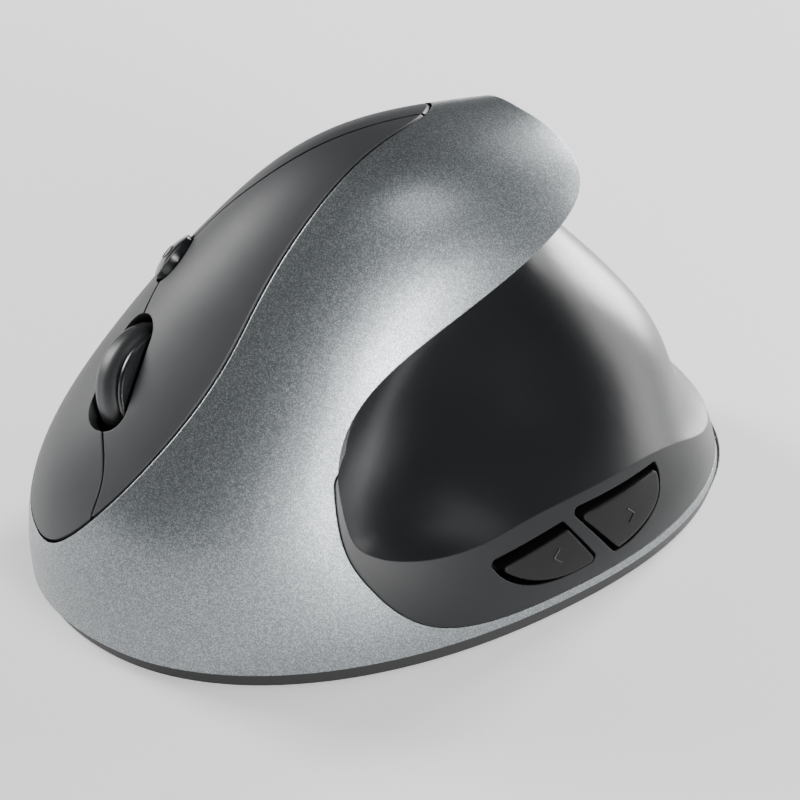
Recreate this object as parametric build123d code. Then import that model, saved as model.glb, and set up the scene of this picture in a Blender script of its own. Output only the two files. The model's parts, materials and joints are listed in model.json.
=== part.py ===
from build123d import *
import os
import numpy as np
from scipy.interpolate import CubicSpline

# Right-handed upright wireless mouse, millimetres.  The nose points to -Y, the thumb side is +X,
# the finger side is -X and +Z is up.  The desk is at z = 0.

# ---- driving dimensions -------------------------------------------------------------------
WALL = 2.0              # moulded wall of every outer piece
SEAM = 0.15             # hairline seam between fixed covers
CLICK_GAP = 0.5         # gap round the two click plates
CLICK_START = 12.0      # lower end of the click opening, along the press direction
SKIRT_Z = 3.3           # bottom edge of the painted band
FEET_Z = 0.5            # height of the glide pads
FLOOR_Z = 2.7           # inner face of the base floor
ORIGIN_SHIFT = (0.78, 0.99, 0.0)   # centres the whole mouse on the origin

# Outer skin: egg-shaped rings.  Each ring has a centre, a tilt about X, four half-axes and a roundness.
LEAN = 0.11             # sideways lean of each ring, per mm towards the rear
#        cx    cy    cz   tilt  thumb finger nose  rear  power
RINGS = [
    (0.0, 0.0, 0.0, 0, 39.5, 40.5, 59.0, 58.0, 2.2),
    (0.0, 0.0, 9.0, 0, 39.5, 41.0, 60.0, 54.5, 2.2),
    (0.0, 1.0, 20.0, 4, 37.0, 37.0, 59.0, 50.5, 2.2),
    (2.5, 4.0, 34.0, 12, 31.5, 32.5, 49.5, 46.0, 2.2),
    (5.0, 9.0, 45.0, 22, 27.0, 27.0, 42.0, 41.0, 2.1),
    (7.0, 16.0, 52.0, 36, 23.0, 21.0, 33.0, 35.0, 2.1),
    (9.0, 23.0, 56.5, 50, 17.0, 14.5, 20.0, 28.0, 2.0),
    (9.5, 26.5, 58.5, 54, 13.0, 11.0, 15.5, 24.0, 2.0),
    (10.0, 29.9, 60.9, 58, 6.2, 5.4, 7.6, 13.5, 2.0),
]
RING_STEPS = 13         # lofted sections made from those rings
RING_POINTS = 32

# Thumb hollow and rear dome: horizontal contours of the surface that trims the egg, from the front
# past the thumb hollow and round the rear.
HOLLOW_Z = [0, 14, 20, 28, 38, 48, 56, 63, 69, 76]
HOLLOW = [
    [(72, -74), (62, -40), (58, -12), (56, 12), (52, 36), (42, 58), (0, 78), (-50, 80)],
    [(52, -62), (42, -32), (43, -8), (43, 10), (38.5, 28), (27.5, 41.5), (3, 53), (-46, 50)],
    [(40, -58), (29.5, -30.5), (34, -12), (37, 5), (35.5, 22), (26, 38.5), (3, 48), (-42, 38)],
    [(36, -60), (25, -35), (23, -16), (26.5, 2), (29.5, 18), (23.5, 35.5), (3, 43.5), (-38, 31)],
    [(36, -58), (22.6, -33), (16, -14), (18, 3), (21, 17), (16.5, 29.5), (1, 37), (-34, 25)],
    [(40, -46), (24.2, -22), (15, -6), (13, 7), (13, 15), (10, 22.5), (-1, 29), (-28, 20)],
    [(46, -22), (27.5, -3), (17.5, 4), (13.5, 10.5), (12, 15.5), (8, 20), (-2, 24.5), (-24, 17)],
    [(44, 12), (24, 15.5), (16, 16), (12, 17), (9, 18), (5, 20), (-3, 21), (-21, 15)],
    [(40, 16), (20, 17), (13, 17), (10, 17), (6, 17.3), (2, 17.5), (-5, 17), (-20, 13)],
    [(40, 14), (26, 14), (15, 13), (10, 13), (4, 13), (-2, 13), (-9, 12.5), (-20, 10)],
]
HOLLOW_OUT = Vector(0.8, 0.6, 0)   # direction in which the hollow is open

# Click plates: outline and split line, seen along the direction in which the fingers press.
PRESS = Vector(0.30, 0.75, -0.59).normalized()
CLICK_PLANE = Plane(origin=(0, 0, 0), x_dir=(0.928, -0.371, 0), z_dir=-PRESS)
CLICK_OUTLINE = [
    (4.4, -23.4), (9.8, -22.2), (13.7, -18.9), (16.8, -14.4), (19.6, -7.8), (21.2, 0.6), (21.4, 12), (20.3, 21),
    (18.2, 29.5), (15.5, 39), (12.4, 47.5), (8.6, 55), (3.4, 60.8), (-2.5, 61.5), (-8.5, 57.5), (-17, 49),
    (-26, 36), (-33, 23.5), (-36.5, 15), (-34, 6.5), (-25, -7), (-11, -17.5), (-2.5, -21.8),
]
SPLIT_LINE = [
    (17.5, -18), (16.8, -14), (16.2, -8.5), (13.8, -4.6), (10.3, -1.5), (6, 6.5), (2.2, 13.9), (-0.8, 18.6),
    (-2.4, 23.1), (-2.5, 28), (-1.0, 34), (1.0, 40.5), (2.2, 47.5), (2.9, 54), (3.0, 66),
]

# Ledge below the thumb hollow and palm cover, seen from the side as (y, z).
LEDGE_OUTLINE = [
    (-35.3, 32), (-36.1, 26), (-35.7, 21), (-33.6, 16), (-30.5, 11.5), (-25.5, 7.6), (-19, 5.6), (-8, 4.9),
    (10, 4.9), (32, 5.0), (54, 5.2), (66, 8), (70, 24), (66, 44), (52, 52), (36, 50), (26, 42), (10, 36),
    (-12, 36), (-28, 36.5),
]
LEDGE_X = (-16, 62)
PALM_OUTLINE = [
    (9, 24), (10, 18), (14.5, 12), (22, 7.8), (33, 5.6), (48, 5.1), (62, 5.4), (72, 12), (72, 40), (60, 62),
    (38, 66), (24, 63), (16, 56), (11.5, 44), (9, 32),
]
PALM_X = (-62, 11)
REAR_SPLIT = [(-7, -2), (6, 66)]    # seam down the rear between palm cover and thumb panel, as (x, z)

# Scroll wheel, in its own frame: X along the axle, Z out of the skin.
WHEEL_PLANE = Plane(origin=(-11.3, -45.5, 41.5), x_dir=(0.954, -0.031, 0.297), z_dir=(-0.221, -0.743, 0.632))
WHEEL_R = 9.6
WHEEL_W = 6.8
TYRE_W = 5.4
RIM_R = 8.8             # bare rim beside the tyre
WHEEL_DEPTH = 7.0       # axle below the skin
HUB_R = 7.0
AXLE_R = 1.2
BOARD_Z = -21.0         # top of the click board in the wheel frame

# Resolution button, in its own frame.
DPI_PLANE = Plane(origin=(-15.2, -30.8, 53.0), x_dir=(0.797, -0.402, 0.451), z_dir=(-0.601, -0.450, 0.661))
DPI_A = 4.0             # half length, along the split
DPI_B = 2.8

# Side buttons, seen from the thumb side as (y, z).
FRONT_BUTTON = [(-13.8, 13.5), (-0.8, 15.2), (3.9, 8.3), (-4.7, 8.5), (-10.6, 10.9)]
FRONT_OPENING = [(-15.6, 15.2), (-1.3, 16.8), (4.9, 8.0), (-4.8, 8.0), (-11.5, 10.2)]
FRONT_SWITCH = (-5.0, 11.8)
REAR_BUTTON = [(2.0, 16.3), (19.9, 16.2), (19.9, 13.2), (15.8, 9.8), (8.9, 8.2)]
REAR_OPENING = [(0.1, 17.9), (20.3, 17.5), (20.5, 13.0), (16.2, 9.3), (8.0, 7.7)]
REAR_SWITCH = (11.0, 12.6)
SIDE_BOARD_X = 29.0

# Battery cell, lying along Y.
CELL_R = 7.15
CELL_X = 12.5
CELL_Y = (-9.0, 40.0)
CELL_Z = 10.6

SENSOR = (-10.0, -4.0)
SWITCH = (-24.0, 0.0)
RECEIVER = (-12.0, 18.6)
MAIN_BOARD_Z = 8.0
SCREWS = [(-17, -34), (4, -19), (14, -43), (-20.5, 34.2), (26, 34)]


# ---- helpers ------------------------------------------------------------------------------
def block(x0, x1, y0, y1, z0, z1):
    """Box between two corners."""
    return Pos((x0 + x1) / 2, (y0 + y1) / 2, (z0 + z1) / 2) * Box(x1 - x0, y1 - y0, z1 - z0)


def rod(radius, x, y, z0, z1):
    """Upright cylinder."""
    return Pos(x, y, (z0 + z1) / 2) * Cylinder(radius, z1 - z0)


def rod_x(radius, x0, x1, y, z):
    """Cylinder along X."""
    return Pos((x0 + x1) / 2, y, z) * Rot(0, 90, 0) * Cylinder(radius, x1 - x0)


def rod_y(radius, x, y0, y1, z):
    """Cylinder along Y."""
    return Pos(x, (y0 + y1) / 2, z) * Rot(90, 0, 0) * Cylinder(radius, y1 - y0)


def largest(shape):
    """The biggest solid of a shape."""
    return max(shape.solids(), key=lambda s: s.volume)


def ring_points(ring, inset, angles):
    """Points of one egg-shaped ring."""
    cx, cy, cz, tilt, thumb, finger, nose, rear, power = ring
    c, s = np.cos(angles), np.sin(angles)
    a = np.where(c > 0, thumb, finger) - inset
    b = np.where(s > 0, rear, nose) - inset
    radius = (np.abs(c / a) ** power + np.abs(s / b) ** power) ** (-1 / power)
    u, w = radius * c, radius * s
    t = np.radians(tilt)
    return np.stack([cx + u + LEAN * w, cy + w * np.cos(t), cz - w * np.sin(t)], -1)


def egg(inset=0.0):
    """Solid inside the outer skin, moved inwards by inset."""
    angles = np.pi / 2 + np.linspace(0, 2 * np.pi, RING_POINTS, endpoint=False)
    rings = np.array([ring_points(r, inset, angles) for r in RINGS])
    steps = np.linalg.norm(np.diff(rings, axis=0), axis=-1).mean(1)
    travel = np.r_[0, np.cumsum(steps)]
    sections = CubicSpline(travel / travel[-1], rings, axis=0, bc_type="natural")(np.linspace(0, 1, RING_STEPS))
    wires = [Wire([Edge.make_spline([Vector(*p) for p in ring], periodic=True)]) for ring in sections]
    return Solid.make_loft(wires)


def hollow(inset=0.0):
    """Solid that removes the thumb hollow and the rear, with its face moved inwards by inset."""
    lines = np.array(HOLLOW, float)
    along = CubicSpline(np.linspace(0, 1, lines.shape[1]), lines, axis=1, bc_type="natural")(np.linspace(0, 1, 121))
    levels = np.linspace(HOLLOW_Z[0], HOLLOW_Z[-1], 101)
    flat = CubicSpline(HOLLOW_Z, along, axis=0, bc_type="natural")(levels)
    grid = np.concatenate([flat, np.repeat(levels[:, None, None], 121, 1)], -1)
    normal = np.cross(np.gradient(grid, axis=1), np.gradient(grid, axis=0))
    normal /= np.linalg.norm(normal, axis=-1, keepdims=True)
    normal *= np.sign((normal @ np.array(tuple(HOLLOW_OUT))).mean())
    grid = (grid - inset * normal)[::4, ::3]
    face = Face.make_surface_from_array_of_points([[Vector(*p) for p in row] for row in grid.tolist()])
    return Solid.extrude(face, HOLLOW_OUT * 160)


def closed_outline(points, grow=0.0):
    """Face inside a smooth closed curve through the points, grown outwards by grow."""
    loop = np.array(points + [points[0]], float)
    k = np.arange(len(loop))
    curve = CubicSpline(k, loop, axis=0, bc_type="periodic")
    tangent = curve(k[:-1], 1)
    area = np.sum(loop[:-1, 0] * loop[1:, 1] - loop[1:, 0] * loop[:-1, 1])
    outward = np.stack([tangent[:, 1], -tangent[:, 0]], -1) * np.sign(area)
    outward /= np.linalg.norm(outward, axis=-1, keepdims=True)
    moved = loop[:-1] + grow * outward
    return Face(Wire([Edge.make_spline([Vector(x, y) for x, y in moved], periodic=True)]))


def strip(points, half):
    """Face of a band of even width along an open curve."""
    line = np.array(points, float)
    k = np.arange(len(line))
    tangent = CubicSpline(k, line, axis=0)(k, 1)
    side = np.stack([-tangent[:, 1], tangent[:, 0]], -1)
    side /= np.linalg.norm(side, axis=-1, keepdims=True)
    left = [Vector(x, y) for x, y in line + half * side]
    right = [Vector(x, y) for x, y in line - half * side]
    edges = [Edge.make_spline(left), Edge.make_line(left[-1], right[-1]),
             Edge.make_spline(right), Edge.make_line(left[0], right[0])]
    return Face(Wire(edges))


def click_prism(face, start=CLICK_START):
    """Cutter through the front skin along the press direction."""
    return CLICK_PLANE * Pos(0, 0, start) * extrude(face, 90, dir=(0, 0, 1))


def side_prism(face, x0, x1):
    """Cutter along X from an outline drawn as (y, z)."""
    return Plane(origin=(x0, 0, 0), x_dir=(0, 1, 0), z_dir=(1, 0, 0)) * extrude(face, x1 - x0, dir=(0, 0, 1))


def palm_half(gap):
    """Everything on the palm side of the rear seam, as far as gap past it."""
    (x0, z0), (x1, z1) = REAR_SPLIT
    face = Face(Wire(Polyline((-90, z0), (x0 + gap, z0), (x1 + gap, z1), (-90, z1), close=True).edges()))
    return Plane(origin=(0, 88, 0), x_dir=(1, 0, 0), z_dir=(0, -1, 0)) * extrude(face, 80, dir=(0, 0, 1))


def button_face(points, corner):
    """Side button outline: straight top and inner end, bowed lower edge, rounded corners."""
    p = [Vector(*q) for q in points]
    if points[2][0] > points[1][0] + 2:
        edges = [Edge.make_line(p[0], p[1]), Edge.make_line(p[1], p[2]), Edge.make_spline([p[2], p[3], p[4], p[0]])]
    else:
        edges = [Edge.make_line(p[0], p[1]), Edge.make_spline([p[1], p[2], p[3], p[4]]), Edge.make_line(p[4], p[0])]
    face = Face(Wire(edges))
    return fillet(face.vertices(), corner)


# ---- shared solids ------------------------------------------------------------------------
SKIN = egg(0.0)
SKIN_IN = egg(WALL)
HOLLOW_FACE = hollow(0.0)
BODY = SKIN - HOLLOW_FACE
UPPER = block(-80, 80, -80, 80, SKIRT_Z, 90)
SHELL = (BODY & UPPER) - SKIN_IN
INNER = egg(WALL - 0.4) - hollow(WALL - 0.4)
CLEAR = egg(WALL + 0.7) - hollow(WALL + 0.7)


# ---- outer pieces -------------------------------------------------------------------------
def post(x, y):
    """Screw post up to the inside of a cover."""
    pillar = rod(2.9, x, y, 4.75, 80) & INNER
    return largest(pillar) - rod(1.05, x, y, 4, 13)


def make_band():
    """Painted nose, ridge and skirt."""
    band = SHELL - click_prism(closed_outline(CLICK_OUTLINE))
    band = band - side_prism(closed_outline(LEDGE_OUTLINE), *LEDGE_X)
    band = band - side_prism(closed_outline(PALM_OUTLINE), *PALM_X)
    return largest(band) + post(*SCREWS[2])


def make_thumb_panel():
    """Dark one-piece panel: ledge, thumb hollow and rear dome."""
    solid = egg(WALL + SEAM)
    sheet = largest((solid - HOLLOW_FACE) - (solid - hollow(WALL)))
    ledge = (BODY - egg(WALL + 0.6)) & side_prism(closed_outline(LEDGE_OUTLINE, -SEAM), *LEDGE_X)
    palm = palm_half(SEAM) & side_prism(closed_outline(PALM_OUTLINE), *PALM_X)
    panel = (sheet + largest(ledge) - palm) + post(*SCREWS[4])
    for outline in (FRONT_OPENING, REAR_OPENING):
        panel = panel - side_prism(button_face(outline, 0.9), 25, 60)
    return largest(panel)


def make_palm_cover():
    """Dark cover of the palm side."""
    wall = (BODY & UPPER) - (egg(WALL) - hollow(WALL))
    cover = (wall & palm_half(0)) & side_prism(closed_outline(PALM_OUTLINE, -SEAM), *PALM_X)
    cover = cover - click_prism(closed_outline(CLICK_OUTLINE))
    return largest(cover) + post(*SCREWS[3])


def make_click_plates():
    """Both click plates: the upper one for the index finger, the lower one for the middle finger."""
    slot = WHEEL_PLANE * Pos(0, -0.2, -10) * extrude(RectangleRounded(WHEEL_W + 1.8, 18.8, 4.0), 20)
    dpi_hole = DPI_PLANE * Pos(0, 0, -8) * extrude(Ellipse(DPI_B + 0.5, DPI_A + 0.5), 20)
    outline = closed_outline(CLICK_OUTLINE, -CLICK_GAP)
    halves = (outline - strip(SPLIT_LINE, 0.25)).faces()
    plates = [(SHELL & click_prism(half, CLICK_START + CLICK_GAP)) - slot - dpi_hole for half in halves]
    right, left = sorted(plates, key=lambda p: -p.volume)
    skin = egg(WALL - 0.4)
    left = left + (WHEEL_PLANE * rod(1.6, 13, 1, -13.75, 4) & skin)
    right = right + (WHEEL_PLANE * rod(1.6, -13, 3, -13.75, 4) & skin)
    return largest(left), largest(right)


def make_base():
    """Black tray with battery bay, receiver bay, sensor window and screw holes."""
    angles = np.pi / 2 + np.linspace(0, 2 * np.pi, RING_POINTS, endpoint=False)
    wires = []
    for inset, z in ((1.0, FEET_Z), (0.25, SKIRT_Z - 0.1)):
        ring = ring_points(RINGS[0], inset, angles)
        ring[:, 2] = z
        wires.append(Wire([Edge.make_spline([Vector(*p) for p in ring], periodic=True)]))
    tray = Solid.make_loft(wires)
    tray = tray - (egg(WALL + 1.6) & block(-80, 80, -80, 80, FLOOR_Z, 12))
    lip = (egg(WALL + 0.1) - egg(WALL + 1.3)) & block(-80, 80, -80, 80, SKIRT_Z - 0.6, 4.7)
    base = tray + lip
    for x, y in SCREWS:
        base = base + rod(3.2, x, y, FLOOR_Z - 0.3, 4.7)
    for x in (3.6, 20.2):
        base = base + block(x, x + 1.2, -13, 45.6, FLOOR_Z - 0.3, 11.5)
    for y in (-13.0, 44.4):
        base = base + block(3.6, 21.4, y, y + 1.2, FLOOR_Z - 0.3, 11)
    x, y = RECEIVER
    base = base + block(x - 8.8, x + 8.8, y - 11.9, y + 11.9, FLOOR_Z - 0.3, 7.7)
    base = base - block(x - 7.8, x + 7.8, y - 10.9, y + 10.9, 0, 7.0)
    for y in (-15.0, 20.0):
        base = base + block(27.2, SIDE_BOARD_X, y - 1.5, y + 1.5, FLOOR_Z - 0.3, 13)
    base = base - block(4.9, 20.1, -11.6, 43.4, 0, FLOOR_Z + 0.3)
    base = base - block(4.0, 21.0, -12.4, 44.2, 0, 1.7)
    base = base - block(9.5, 15.5, 44.0, 46.2, 0, 1.7)
    base = base - rod(4.2, *SENSOR, 0, FLOOR_Z + 1)
    base = base - (Pos(*SENSOR, 0) * extrude(SlotOverall(13, 8.4), 1.5))
    x, y = SWITCH
    base = base - block(x - 1.8, x + 1.8, y - 4.0, y + 4.0, 0, 4)
    base = base - block(x - 3.2, x + 3.2, y - 5.5, y + 5.5, 0, 1.3)
    for x, y in SCREWS:
        base = base - rod(1.2, x, y, 0, 6) - rod(2.3, x, y, 0, 2.0)
    return largest(base)


def make_feet():
    """Low-friction glide pads."""
    pads = [(-5.5, -49.5, 26, 6, 0), (4.5, 48.5, 26, 6, 0), (-33.5, 2, 18, 5, 90), (32, 6, 18, 5, 90)]
    return [Pos(x, y, 0) * extrude(SlotOverall(length, width, rotation=turn), FEET_Z)
            for x, y, length, width, turn in pads]


def make_battery_door():
    """Battery door with a finger notch and a latch tongue."""
    door = block(4.2, 20.8, -12.2, 44.0, FEET_Z + 0.05, 1.65)
    door = door + block(9.7, 15.3, 44.0, 46.0, FEET_Z + 0.05, 1.65)
    door = door + block(5.1, 19.9, -11.4, 43.2, 1.5, 2.6)
    for y in (34.0, 36.0, 38.0):
        door = door - block(8, 17, y, y + 0.9, 0, FEET_Z + 0.45)
    return door


def make_dpi_button():
    """Oval resolution button with a shallow dome and a stem."""
    cap = extrude(Ellipse(DPI_B, DPI_A), 8.4)
    cap = Pos(0, 0, -6) * cap & Pos(0, 0, 1.6 - 9.5) * Sphere(9.5)
    return DPI_PLANE * cap


def make_side_button(outline, y, z):
    """Side button with its stem."""
    button = (side_prism(button_face(outline, 0.6), 25, 60) & egg(-0.15)) - egg(WALL + 0.4)
    stem = rod_x(1.5, SIDE_BOARD_X + 5.55, 50, y, z) & egg(WALL)
    return largest(button) + largest(stem)


# ---- scroll wheel -------------------------------------------------------------------------
def make_wheel():
    """Tyre, hub with axle, and encoder rotor."""
    turn = WHEEL_PLANE * Pos(0, 0, -WHEEL_DEPTH) * Rot(0, 90, 0)
    half = WHEEL_W / 2
    tyre = fillet(Cylinder(WHEEL_R, TYRE_W).edges(), 2.2) - Cylinder(HUB_R, WHEEL_W + 1)
    tyre = Pos(0, 0, TYRE_W / 2 - half) * tyre
    hub = Cylinder(HUB_R, WHEEL_W - 0.6)
    rim = Pos(0, 0, half - 0.45) * Cylinder(RIM_R, 0.9)
    hub = hub + chamfer(rim.edges(), 0.25)
    for side in (-1, 1):
        hub = hub - Pos(0, 0, side * (half - 0.2)) * (Cylinder(5.8, 2.4) - Cylinder(2.4, 3))
    hub = hub + Pos(0, 0, -0.7) * Cylinder(AXLE_R, 17.4)
    rotor = Pos(0, 0, -8.1) * Cylinder(2.0, 2.4) - Pos(0, 0, -8.1) * Cylinder(AXLE_R, 4)
    return turn * tyre, turn * hub, turn * rotor


def make_wheel_carrier():
    """Fork that holds the axle and presses the middle switch."""
    fork = block(-6.4, 6.4, -15, -12.6, -16.55, -9)
    for x in (-6.4, 5.0):
        fork = fork + block(x, x + 1.4, -13, 4, -14.5, -5.2)
    bore = Pos(0, 0, -WHEEL_DEPTH) * Rot(0, 90, 0) * Cylinder(AXLE_R + 0.05, 40)
    return WHEEL_PLANE * (fork - bore)


def make_encoder():
    """Encoder housing on the fork."""
    body = block(-9.2, -6.45, -3.6, 4.0, -13.6, -4.5)
    bore = Pos(-8, 0, -WHEEL_DEPTH) * Rot(0, 90, 0) * Cylinder(2.08, 12)
    return WHEEL_PLANE * (body - bore)


# ---- boards, switches and frame -----------------------------------------------------------
def make_click_board():
    """Slanted board under the click plates."""
    board = block(-17, 17, -16.4, 15.5, BOARD_Z - 1.2, BOARD_Z)
    return largest((WHEEL_PLANE * board & CLEAR) - rod(3.3, *SCREWS[2], 0, 60))


def micro_switch(x, y):
    """Snap-action switch housing and its plunger, in the wheel frame."""
    body = block(x - 2.9, x + 2.9, y - 6.4, y + 6.4, BOARD_Z, BOARD_Z + 6.5)
    body = body - block(x - 0.85, x + 0.85, y - 1.35, y + 1.35, BOARD_Z + 4, BOARD_Z + 7)
    plunger = block(x - 0.8, x + 0.8, y - 1.3, y + 1.3, BOARD_Z + 4.6, BOARD_Z + 7.2)
    return body, plunger


def tact_switch(height):
    """Square dome switch and its round plunger, standing on z = 0."""
    body = block(-3, 3, -3, 3, 0, height) - rod(1.65, 0, 0, 1.0, height + 1)
    plunger = rod(1.6, 0, 0, 1.7, height + 0.9)
    return body, plunger


def make_chassis():
    """Inner frame: slanted shelf on four legs."""
    shelf = block(-17, 17, -14, 18.6, BOARD_Z - 3.4, BOARD_Z - 1.2)
    shelf = WHEEL_PLANE * (shelf - block(-9.6, -0.6, 14, 20, BOARD_Z - 4, BOARD_Z))
    above = WHEEL_PLANE * block(-90, 90, -90, 90, BOARD_Z - 1.3, 120)
    frame = shelf
    for x, y in ((-17, -34), (9, -35), (-21, -18), (4, -19)):
        frame = frame + (rod(2.9, x, y, 4.75, 60) - above)
    column = WHEEL_PLANE * block(1.5, 6.5, 16.4, 18.6, BOARD_Z - 3, -6)
    column = column - DPI_PLANE * block(-40, 40, -40, 40, -12.3, 60)
    frame = frame + column
    frame = (frame & CLEAR) - rod(3.3, *SCREWS[2], 0, 60)
    for x, y in SCREWS[:2]:
        frame = frame - rod(1.05, x, y, 4, 13)
    return largest(frame)


def make_main_board():
    """Main board above the sensor."""
    return block(-27, 2, -13, 30.5, MAIN_BOARD_Z, MAIN_BOARD_Z + 1.2) - rod(2.6, *SENSOR, 7, 10)


def make_ribbon():
    """Flat cable from the click board down to the main board."""
    points = [(12, BOARD_Z + 0.05), (16.4, BOARD_Z + 0.05), (17.4, BOARD_Z - 1.5), (-0.7, -46), (-0.3, -46.3),
              (17.9, BOARD_Z - 1.6), (16.6, BOARD_Z + 0.4), (12, BOARD_Z + 0.4)]
    face = Face(Wire(Polyline(*points, close=True).edges()))
    sheet = Plane(origin=(-8, 0, 0), x_dir=(0, 1, 0), z_dir=(1, 0, 0)) * extrude(face, 6, dir=(0, 0, 1))
    plug = block(-10.5, -1.5, -12.9, -10.2, MAIN_BOARD_Z + 1.2, MAIN_BOARD_Z + 3.6)
    return WHEEL_PLANE * sheet + plug


def make_sensor():
    """Optical sensor package and its clear lens."""
    x, y = SENSOR
    chip = block(x - 6, x + 6, y - 5.5, y + 5.5, MAIN_BOARD_Z + 1.2, MAIN_BOARD_Z + 3.7)
    lens = block(x - 8.5, x + 8.5, y - 5.5, y + 5.5, FLOOR_Z + 0.05, FLOOR_Z + 1.6)
    lens = lens + rod(3.6, x, y, FLOOR_Z - 0.6, FLOOR_Z + 4.4) + rod(2.4, x, y, 5, MAIN_BOARD_Z + 1.0)
    return chip, lens


def make_power_switch():
    """Slide switch body under the main board and its knob."""
    x, y = SWITCH
    body = block(x - 2.2, x + 2.2, y - 4.6, y + 4.6, 4.4, MAIN_BOARD_Z)
    body = body - block(x - 1.1, x + 1.1, y - 2.6, y + 2.6, 4, 6)
    knob = block(x - 1.5, x + 1.5, y - 2.4, y + 0.2, 0.9, 4.2) + block(x - 1.0, x + 1.0, y - 2.2, y, 4.0, 5.8)
    for k in range(3):
        knob = knob - block(x - 2, x + 2, y - 1.9 + 0.7 * k, y - 1.6 + 0.7 * k, 0, 1.2)
    return body, knob


def make_cell():
    """Round battery cell with its positive nub to the front."""
    cell = rod_y(CELL_R, CELL_X, CELL_Y[0], CELL_Y[1], CELL_Z)
    cell = fillet(cell.edges(), 0.6)
    return cell + rod_y(2.7, CELL_X, CELL_Y[0] - 1.4, CELL_Y[0] + 0.2, CELL_Z)


def make_contacts():
    """Front contact plate, rear contact plate with its coil."""
    front = block(CELL_X - 5, CELL_X + 5, -11.75, -10.45, 4.0, 15.5)
    front = front - block(CELL_X - 4.4, CELL_X + 4.4, -11.4, -10.0, 4.6, 14.9)
    front = front + block(CELL_X - 4.6, CELL_X + 4.6, -11.4, -11.0, 4.4, 15.1)
    plate = block(CELL_X - 5, CELL_X + 5, 43.9, 44.35, 4.0, 15.5)
    path = Helix(pitch=1.15, height=3.2, radius=4.2)
    wire = Plane(origin=path @ 0, z_dir=path % 0) * Circle(0.3)
    coil = sweep(wire, path=path, is_frenet=True)
    coil = Pos(CELL_X, 40.35, CELL_Z) * Rot(-90, 0, 0) * coil
    return front, plate, coil


def make_receiver():
    """Radio receiver lying in its bay: plug shell, tongue and ribbed cap."""
    x, y = RECEIVER
    z = 3.9
    shell = block(x - 6, x + 6, y - 10.5, y + 2.5, z - 2.25, z + 2.25)
    shell = shell - block(x - 5.7, x + 5.7, y - 11, y + 2.2, z - 1.95, z + 1.95)
    for side in (-3.1, 3.1):
        shell = shell - block(x + side - 1.2, x + side + 1.2, y - 7.4, y - 5.0, z - 3, z + 3)
    tongue = block(x - 5.6, x + 5.6, y - 9.9, y + 2.1, z - 0.1, z + 1.9)
    cap = block(x - 7.2, x + 7.2, y + 2.5, y + 10.4, z - 3.0, z + 3.0)
    cap = fillet(cap.edges().filter_by(Axis.Y), 1.2)
    for k in range(3):
        groove = block(x - 9, x + 9, y + 4.2 + 1.9 * k, y + 4.9 + 1.9 * k, z - 4, z + 4)
        cap = cap - (groove - block(x - 6.7, x + 6.7, y, y + 20, z - 2.6, z + 2.6))
    return shell, tongue, cap


def make_screw(x, y):
    """Self-tapping screw with a cross recess."""
    screw = rod(2.1, x, y, 0.95, 1.95) + rod(1.0, x, y, 1.9, 11.5)
    return screw - block(x - 1.2, x + 1.2, y - 0.25, y + 0.25, 0, 1.5) - block(x - 0.25, x + 0.25, y - 1.2, y + 1.2, 0, 1.5)


# ---- assembly -----------------------------------------------------------------------------
def build_parts():
    """Every piece by name."""
    parts = {}
    parts["main_band"] = make_band()
    parts["thumb_panel"] = make_thumb_panel()
    parts["palm_cover"] = make_palm_cover()
    parts["left_button"], parts["right_button"] = make_click_plates()
    parts["base_shell"] = make_base()
    parts["glide_feet"] = make_feet()
    parts["battery_door"] = make_battery_door()
    parts["dpi_button"] = make_dpi_button()
    parts["forward_button"] = make_side_button(FRONT_BUTTON, *FRONT_SWITCH)
    parts["back_button"] = make_side_button(REAR_BUTTON, *REAR_SWITCH)
    parts["wheel_tyre"], parts["wheel_hub"], parts["encoder_rotor"] = make_wheel()
    parts["wheel_carrier"] = make_wheel_carrier()
    parts["encoder_body"] = make_encoder()
    parts["click_board"] = make_click_board()
    for name, x, y in (("left", 13, 1), ("right", -13, 3)):
        body, plunger = micro_switch(x, y)
        parts[name + "_switch"] = WHEEL_PLANE * body
        parts[name + "_plunger"] = WHEEL_PLANE * plunger
    body, plunger = tact_switch(3.5)
    seat = WHEEL_PLANE * Pos(0, -13.4, BOARD_Z)
    parts["wheel_switch"], parts["wheel_plunger"] = seat * body, seat * plunger
    body, plunger = tact_switch(3.4)
    seat = DPI_PLANE * Pos(0, 0, -10.4)
    parts["dpi_switch"], parts["dpi_plunger"] = seat * body, seat * plunger
    parts["dpi_board"] = DPI_PLANE * block(-4.6, 4.6, -4.4, 7.5, -11.6, -10.4)
    for name, (y, z) in (("forward", FRONT_SWITCH), ("back", REAR_SWITCH)):
        seat = Pos(SIDE_BOARD_X + 1.2, y, z) * Rot(0, 90, 0)
        parts[name + "_switch"], parts[name + "_plunger"] = seat * body, seat * plunger
    side = block(SIDE_BOARD_X, SIDE_BOARD_X + 1.2, -18, 23, 5.3, 17.4)
    parts["side_board"] = side
    parts["chassis"] = make_chassis()
    parts["main_board"] = make_main_board()
    parts["ribbon_cable"] = make_ribbon()
    parts["sensor_chip"], parts["sensor_lens"] = make_sensor()
    parts["mcu_chip"] = block(-22, -15, 12, 19, MAIN_BOARD_Z + 1.2, MAIN_BOARD_Z + 2.2)
    parts["capacitor"] = rod(2.5, -6, 26, MAIN_BOARD_Z + 1.2, MAIN_BOARD_Z + 6.2)
    parts["power_switch"], parts["power_knob"] = make_power_switch()
    parts["battery_cell"] = make_cell()
    parts["battery_contact"], parts["spring_plate"], parts["battery_spring"] = make_contacts()
    parts["receiver_shell"], parts["receiver_tongue"], parts["receiver_cap"] = make_receiver()
    parts["case_screws"] = [make_screw(x, y) for x, y in SCREWS]
    return parts


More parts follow.
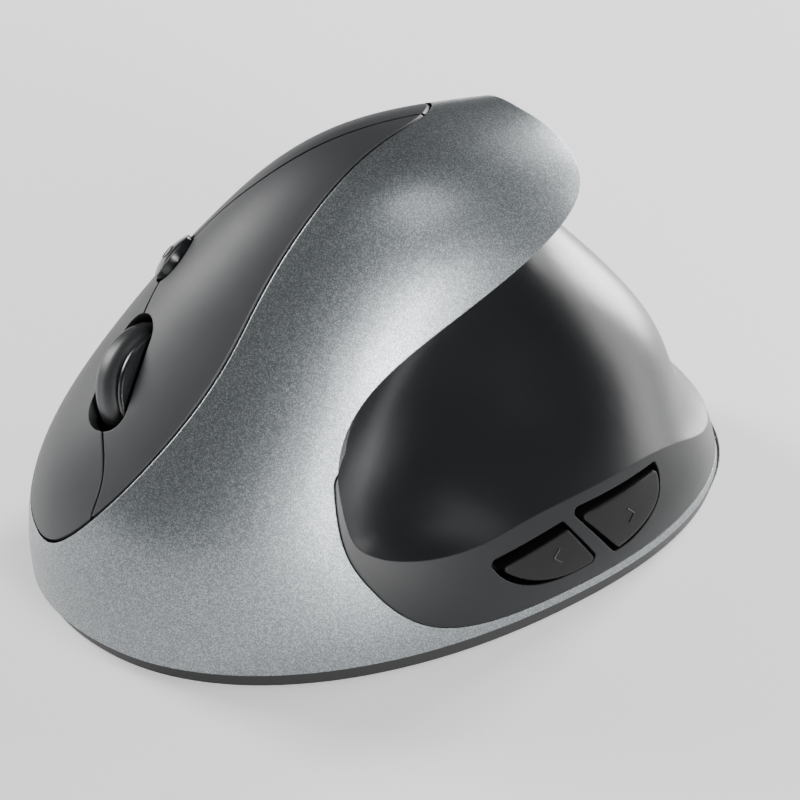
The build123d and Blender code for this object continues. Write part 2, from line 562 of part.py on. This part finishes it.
def save_parts():
    """Write one STEP file per piece."""
    os.makedirs("parts", exist_ok=True)
    for name, shape in build_parts().items():
        group = shape if isinstance(shape, list) else [shape]
        solids = [s for piece in group for s in (Pos(*ORIGIN_SHIFT) * piece).solids()]
        export_step(Compound(children=solids) if len(solids) > 1 else solids[0], f"parts/{name}.step")


save_parts()
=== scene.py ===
import json
import math

import bpy
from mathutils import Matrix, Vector


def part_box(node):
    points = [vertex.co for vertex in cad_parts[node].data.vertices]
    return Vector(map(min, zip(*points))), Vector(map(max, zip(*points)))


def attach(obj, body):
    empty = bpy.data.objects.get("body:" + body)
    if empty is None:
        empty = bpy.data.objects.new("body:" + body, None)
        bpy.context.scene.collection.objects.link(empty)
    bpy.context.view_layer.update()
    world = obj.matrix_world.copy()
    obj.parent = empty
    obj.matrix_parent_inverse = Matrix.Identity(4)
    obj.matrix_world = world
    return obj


MM = 0.001
SHARP_ANGLE = math.radians(32)   # edges sharper than this stay crisp
MARK_WIDTH = 0.28 * MM           # line width of the arrowheads on the side buttons
RING_WIDTH = 0.22 * MM           # line width of the ring on the resolution button
RING_RADIUS = 1.15 * MM
AIM = Vector((0.00078, 0.00099, 0.030))   # point at mid height that the camera looks at
LIGHT_AIM = Vector((0, 0, 0.03))

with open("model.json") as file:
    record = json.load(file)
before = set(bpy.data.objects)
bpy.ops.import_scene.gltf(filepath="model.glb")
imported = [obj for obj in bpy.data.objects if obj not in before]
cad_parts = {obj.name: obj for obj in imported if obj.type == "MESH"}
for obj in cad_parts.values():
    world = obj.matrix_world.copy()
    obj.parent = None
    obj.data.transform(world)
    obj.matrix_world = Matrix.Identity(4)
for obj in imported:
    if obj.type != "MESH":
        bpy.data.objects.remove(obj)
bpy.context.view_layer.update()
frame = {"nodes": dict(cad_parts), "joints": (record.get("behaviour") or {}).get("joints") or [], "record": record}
NODES = frame["nodes"]


# ---- materials ----------------------------------------------------------------------------
def shader(name):
    """New material with a Principled shader; returns material, node tree and shader node."""
    material = bpy.data.materials.new(name)
    material.use_nodes = True
    tree = material.node_tree
    return material, tree, tree.nodes["Principled BSDF"]


def add(tree, kind, **values):
    """Node of a kind with its properties and inputs set."""
    node = tree.nodes.new(kind)
    for key, value in values.items():
        if key in node.inputs:
            node.inputs[key].default_value = value
        else:
            setattr(node, key, value)
    return node


def noise(tree, scale, detail=3.0, rough=0.5):
    """Noise in object space; scale is in cells per metre."""
    coords = add(tree, "ShaderNodeTexCoord")
    texture = add(tree, "ShaderNodeTexNoise")
    texture.inputs["Scale"].default_value = scale
    texture.inputs["Detail"].default_value = detail
    texture.inputs["Roughness"].default_value = rough
    tree.links.new(coords.outputs["Object"], texture.inputs["Vector"])
    return texture.outputs["Fac"]


def ramp(tree, source, low, high, at=(0.35, 0.65)):
    """Blends two colours by a value."""
    node = add(tree, "ShaderNodeValToRGB")
    node.color_ramp.elements[0].position = at[0]
    node.color_ramp.elements[1].position = at[1]
    node.color_ramp.elements[0].color = (*low, 1)
    node.color_ramp.elements[1].color = (*high, 1)
    tree.links.new(source, node.inputs["Fac"])
    return node.outputs["Color"]


def spread(tree, source, low, high):
    """Maps a 0-1 value to low-high."""
    node = add(tree, "ShaderNodeMapRange")
    node.inputs["To Min"].default_value = low
    node.inputs["To Max"].default_value = high
    tree.links.new(source, node.inputs["Value"])
    return node.outputs["Result"]


def soft_edges(tree, bsdf, radius, grain=0.0, scale=9000.0, detail=2.0):
    """Rounds edges by radius in mm and adds a fine grain of that height in mm."""
    bevel = add(tree, "ShaderNodeBevel", samples=6)
    bevel.inputs["Radius"].default_value = radius * MM
    normal = bevel.outputs["Normal"]
    if grain:
        bump = add(tree, "ShaderNodeBump")
        bump.inputs["Strength"].default_value = 1.0
        bump.inputs["Distance"].default_value = grain * MM
        tree.links.new(noise(tree, scale, detail), bump.inputs["Height"])
        tree.links.new(normal, bump.inputs["Normal"])
        normal = bump.outputs["Normal"]
    tree.links.new(normal, bsdf.inputs["Normal"])


def plastic(name, colour, rough, edge=0.25, grain=0.004, scale=9000.0, patch=0.10, **inputs):
    """Moulded plastic: slight tone and gloss variation, fine grain, rounded edges."""
    material, tree, bsdf = shader(name)
    dark = [c * (1 - patch) for c in colour]
    light = [c * (1 + patch) for c in colour]
    tree.links.new(ramp(tree, noise(tree, 60, 4), dark, light), bsdf.inputs["Base Color"])
    tree.links.new(spread(tree, noise(tree, 160, 3), rough - 0.02, rough + 0.02), bsdf.inputs["Roughness"])
    for key, value in inputs.items():
        bsdf.inputs[key].default_value = value
    soft_edges(tree, bsdf, edge, grain, scale)
    return material


def flake_paint(name, colour, bright):
    """Silver paint: fine metal flakes of differing tone and tilt under a thin clear coat."""
    material, tree, bsdf = shader(name)
    coords = add(tree, "ShaderNodeTexCoord")
    cells = add(tree, "ShaderNodeTexVoronoi")
    cells.inputs["Scale"].default_value = 7500.0
    tree.links.new(coords.outputs["Object"], cells.inputs["Vector"])
    split = add(tree, "ShaderNodeSeparateColor")
    tree.links.new(cells.outputs["Color"], split.inputs["Color"])
    tone = ramp(tree, split.outputs["Red"], colour, bright, (0.45, 1.0))
    tree.links.new(tone, bsdf.inputs["Base Color"])
    bsdf.inputs["Metallic"].default_value = 0.8
    tree.links.new(spread(tree, split.outputs["Green"], 0.30, 0.44), bsdf.inputs["Roughness"])
    bsdf.inputs["Coat Weight"].default_value = 0.15
    bsdf.inputs["Coat Roughness"].default_value = 0.12
    bevel = add(tree, "ShaderNodeBevel", samples=6)
    bevel.inputs["Radius"].default_value = 0.25 * MM
    bump = add(tree, "ShaderNodeBump")
    bump.inputs["Strength"].default_value = 0.25
    bump.inputs["Distance"].default_value = 0.02 * MM
    tree.links.new(split.outputs["Blue"], bump.inputs["Height"])
    tree.links.new(bevel.outputs["Normal"], bump.inputs["Normal"])
    tree.links.new(bump.outputs["Normal"], bsdf.inputs["Normal"])
    return material


def metal(name, colour, rough):
    """Plain metal with faint polishing marks."""
    material, tree, bsdf = shader(name)
    bsdf.inputs["Base Color"].default_value = (*colour, 1)
    bsdf.inputs["Metallic"].default_value = 1.0
    tree.links.new(spread(tree, noise(tree, 1500, 4), rough - 0.08, rough + 0.08), bsdf.inputs["Roughness"])
    soft_edges(tree, bsdf, 0.1, 0.002, 4000)
    return material


PAINT = flake_paint("silver_paint", (0.165, 0.183, 0.192), (0.38, 0.405, 0.42))
CLICK = plastic("click_plastic", (0.034, 0.0355, 0.0385), 0.52, 0.25, 0.004, 9000)
PANEL = plastic("panel_plastic", (0.004, 0.0045, 0.0055), 0.33, 0.35, 0.003, 8000,
                **{"Specular IOR Level": 0.34})
BASE = plastic("base_plastic", (0.003, 0.003, 0.0035), 0.5, 0.25, 0.005, 7000)
TEXTURED = plastic("textured_plastic", (0.004, 0.004, 0.0045), 0.42, 0.6, 0.03, 3800,
                   **{"Specular IOR Level": 0.22})
TYRE = plastic("tyre_rubber", (0.022, 0.023, 0.025), 0.42, 0.2, 0.004, 6000)
HUB = plastic("hub_plastic", (0.010, 0.0105, 0.012), 0.22, 0.15, 0.0, 6000)
GLOSS = plastic("gloss_plastic", (0.018, 0.019, 0.021), 0.2, 0.3, 0.0, 6000)
GLIDE = plastic("glide_plastic", (0.07, 0.07, 0.075), 0.35, 0.15, 0.003, 9000)
INNER = plastic("inner_plastic", (0.12, 0.12, 0.13), 0.6, 0.15, 0.006, 5000)
SWITCH = plastic("switch_plastic", (0.012, 0.012, 0.013), 0.5, 0.1, 0.004, 9000)
WHITE = plastic("white_plastic", (0.75, 0.75, 0.72), 0.4, 0.1, 0.002, 9000)
BOARD = plastic("board_laminate", (0.01, 0.12, 0.05), 0.35, 0.05, 0.006, 3000)
CHIP = plastic("chip_resin", (0.02, 0.02, 0.022), 0.55, 0.05, 0.006, 9000)
JACKET = plastic("cell_jacket", (0.42, 0.06, 0.02), 0.25, 0.3, 0.0, 5000)
CABLE = plastic("cable_sheath", (0.45, 0.45, 0.47), 0.4, 0.05, 0.002, 5000)
MARK = plastic("mark_gloss", (0.002, 0.002, 0.002), 0.18, 0.05, 0.0, 5000)
STEEL = metal("steel", (0.62, 0.62, 0.63), 0.30)
LENS = plastic("clear_lens", (0.9, 0.92, 0.95), 0.08, 0.1, 0.0, 5000, 0.02, **{"Transmission Weight": 0.9})

LOOKS = {
    "silver_paint": PAINT,
    "dark_plastic": CLICK,
    "black_plastic": PANEL,
    "black_textured": TEXTURED,
    "tyre_rubber": TYRE,
    "hub_plastic": HUB,
    "gloss_black": GLOSS,
    "glide_plastic": GLIDE,
    "inner_plastic": INNER,
    "switch_black": SWITCH,
    "plunger_white": WHITE,
    "board_green": BOARD,
    "chip_black": CHIP,
    "clear_lens": LENS,
    "cell_jacket": JACKET,
    "steel": STEEL,
    "cable_grey": CABLE,
    "capacitor_can": STEEL,
}
NODE_LOOKS = {"base_shell": BASE, "battery_door": BASE, "power_knob": BASE, "side_board": CHIP}
for part in frame["record"]["subparts"]:
    node = NODES[part["node"]]
    look = NODE_LOOKS.get(part["node"], LOOKS[part["material_slot"]])
    node.data.materials.clear()
    node.data.materials.append(look)
    node.data.shade_smooth()
    node.data.set_sharp_from_angle(angle=SHARP_ANGLE)


# ---- small surface details ----------------------------------------------------------------
def joint(name):
    """A joint of the frame by name."""
    return next(j for j in frame["joints"] if j["name"] == name)


def land(node, place, toward):
    """Point where a ray from place along toward meets a CAD node."""
    hit, spot, normal, face = NODES[node].ray_cast(Vector(place), Vector(toward).normalized())
    if not hit:
        raise ValueError(f"the mark misses {node} at {tuple(place)}")
    return spot


def inlay(name, node, body, lines, toward, width, look):
    """Thin raised lines laid on a CAD node; each line is a list of start points of rays along toward."""
    curve = bpy.data.curves.new(name, "CURVE")
    curve.dimensions = "3D"
    curve.bevel_depth = width / 2
    curve.bevel_resolution = 2
    curve.use_fill_caps = True
    for line in lines:
        spline = curve.splines.new("POLY")
        spline.points.add(len(line) - 1)
        for point, place in zip(spline.points, line):
            point.co = (*land(node, place, toward), 1)
    piece = bpy.data.objects.new(name, curve)
    bpy.context.scene.collection.objects.link(piece)
    piece.data.materials.append(look)
    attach(piece, body)
    return piece


def stroke(a, b, steps=6):
    """Points from a to b."""
    return [Vector(a).lerp(Vector(b), k / steps) for k in range(steps + 1)]


def chevron(name, node, body, apex, reach, rise):
    """Arrowhead mark on a side button; apex is (y, z) in metres from which both arms run."""
    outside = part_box(node)[1].x + 5 * MM
    tip = (outside, apex[0], apex[1])
    lines = [stroke(tip, (outside, apex[0] + reach, apex[1] + side * rise)) for side in (1, -1)]
    inlay(name, node, body, lines, (-1, 0, 0), MARK_WIDTH, MARK)


def middle(node):
    """Centre of a CAD node's box."""
    low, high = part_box(node)
    return (low + high) / 2


front, rear = middle("forward_button"), middle("back_button")
front_tip = (front.y + 0.6 * MM, front.z + 0.2 * MM)
rear_tip = (rear.y + 1.6 * MM, rear.z + 0.1 * MM)
chevron("forward_mark", "forward_button", "forward", front_tip, 1.3 * MM, 1.2 * MM)
chevron("back_mark", "back_button", "back", rear_tip, -1.3 * MM, 1.2 * MM)

press = Vector(joint("dpi_press")["axis"])
across = press.orthogonal().normalized()
along = press.cross(across)
centre = middle("dpi_button") - press * 12 * MM
turns = [k * math.tau / 24 for k in range(25)]
ring = [centre + (across * math.cos(t) + along * math.sin(t)) * RING_RADIUS for t in turns]
inlay("dpi_mark", "dpi_button", "dpi", [ring], press, RING_WIDTH, MARK)


# ---- floor, light and camera --------------------------------------------------------------
def floor():
    """Large pale floor at desk height."""
    bpy.ops.mesh.primitive_plane_add(size=6.0, location=(0, 0, 0))
    plane = bpy.context.object
    plane.name = "floor"
    material, tree, bsdf = shader("floor_white")
    bsdf.inputs["Base Color"].default_value = (0.9, 0.9, 0.9, 1)
    bsdf.inputs["Emission Color"].default_value = (1, 1, 1, 1)
    bsdf.inputs["Emission Strength"].default_value = 0.45
    bsdf.inputs["Roughness"].default_value = 0.6
    plane.data.materials.append(material)


def direction(azimuth, elevation):
    """Unit vector towards a place round the mouse; azimuth 0 is -Y, 90 is +X; angles in degrees."""
    a, e = math.radians(azimuth), math.radians(elevation)
    return Vector((math.sin(a) * math.cos(e), -math.cos(a) * math.cos(e), math.sin(e)))


def area_light(name, azimuth, elevation, size, power):
    """Soft rectangular light one metre from the middle of the mouse and aimed at it."""
    data = bpy.data.lights.new(name, "AREA")
    data.shape = "RECTANGLE"
    data.size, data.size_y = size
    data.energy = power
    lamp = bpy.data.objects.new(name, data)
    away = direction(azimuth, elevation)
    lamp.location = LIGHT_AIM + away
    lamp.rotation_euler = (-away).to_track_quat("-Z", "Y").to_euler()
    bpy.context.scene.collection.objects.link(lamp)


def camera(azimuth, elevation, distance, lens, shift):
    """Camera looking at AIM from azimuth and elevation."""
    data = bpy.data.cameras.new("camera")
    data.lens = lens
    data.sensor_width = 36.0
    data.shift_x, data.shift_y = shift
    eye = bpy.data.objects.new("camera", data)
    away = direction(azimuth, elevation)
    eye.location = AIM + away * distance
    eye.rotation_euler = (-away).to_track_quat("-Z", "Y").to_euler()
    bpy.context.scene.collection.objects.link(eye)
    bpy.context.scene.camera = eye


floor()
area_light("finger_side", 288, 26, (0.35, 0.5), 11.0)
area_light("thumb_side", 75, 10, (0.3, 0.4), 13.5)
area_light("rear_right", 155, 9, (0.3, 0.5), 4.0)
area_light("rear", 185, 13, (0.3, 0.5), 18.0)
area_light("above", 90, 62, (0.3, 0.5), 2.0)
world = bpy.data.worlds.new("studio")
world.use_nodes = True
world.node_tree.nodes["Background"].inputs["Color"].default_value = (1, 1, 1, 1)
world.node_tree.nodes["Background"].inputs["Strength"].default_value = 0.06
bpy.context.scene.world = world
camera(45, 31, 0.4252, 121.5, (0.00875, -0.06))
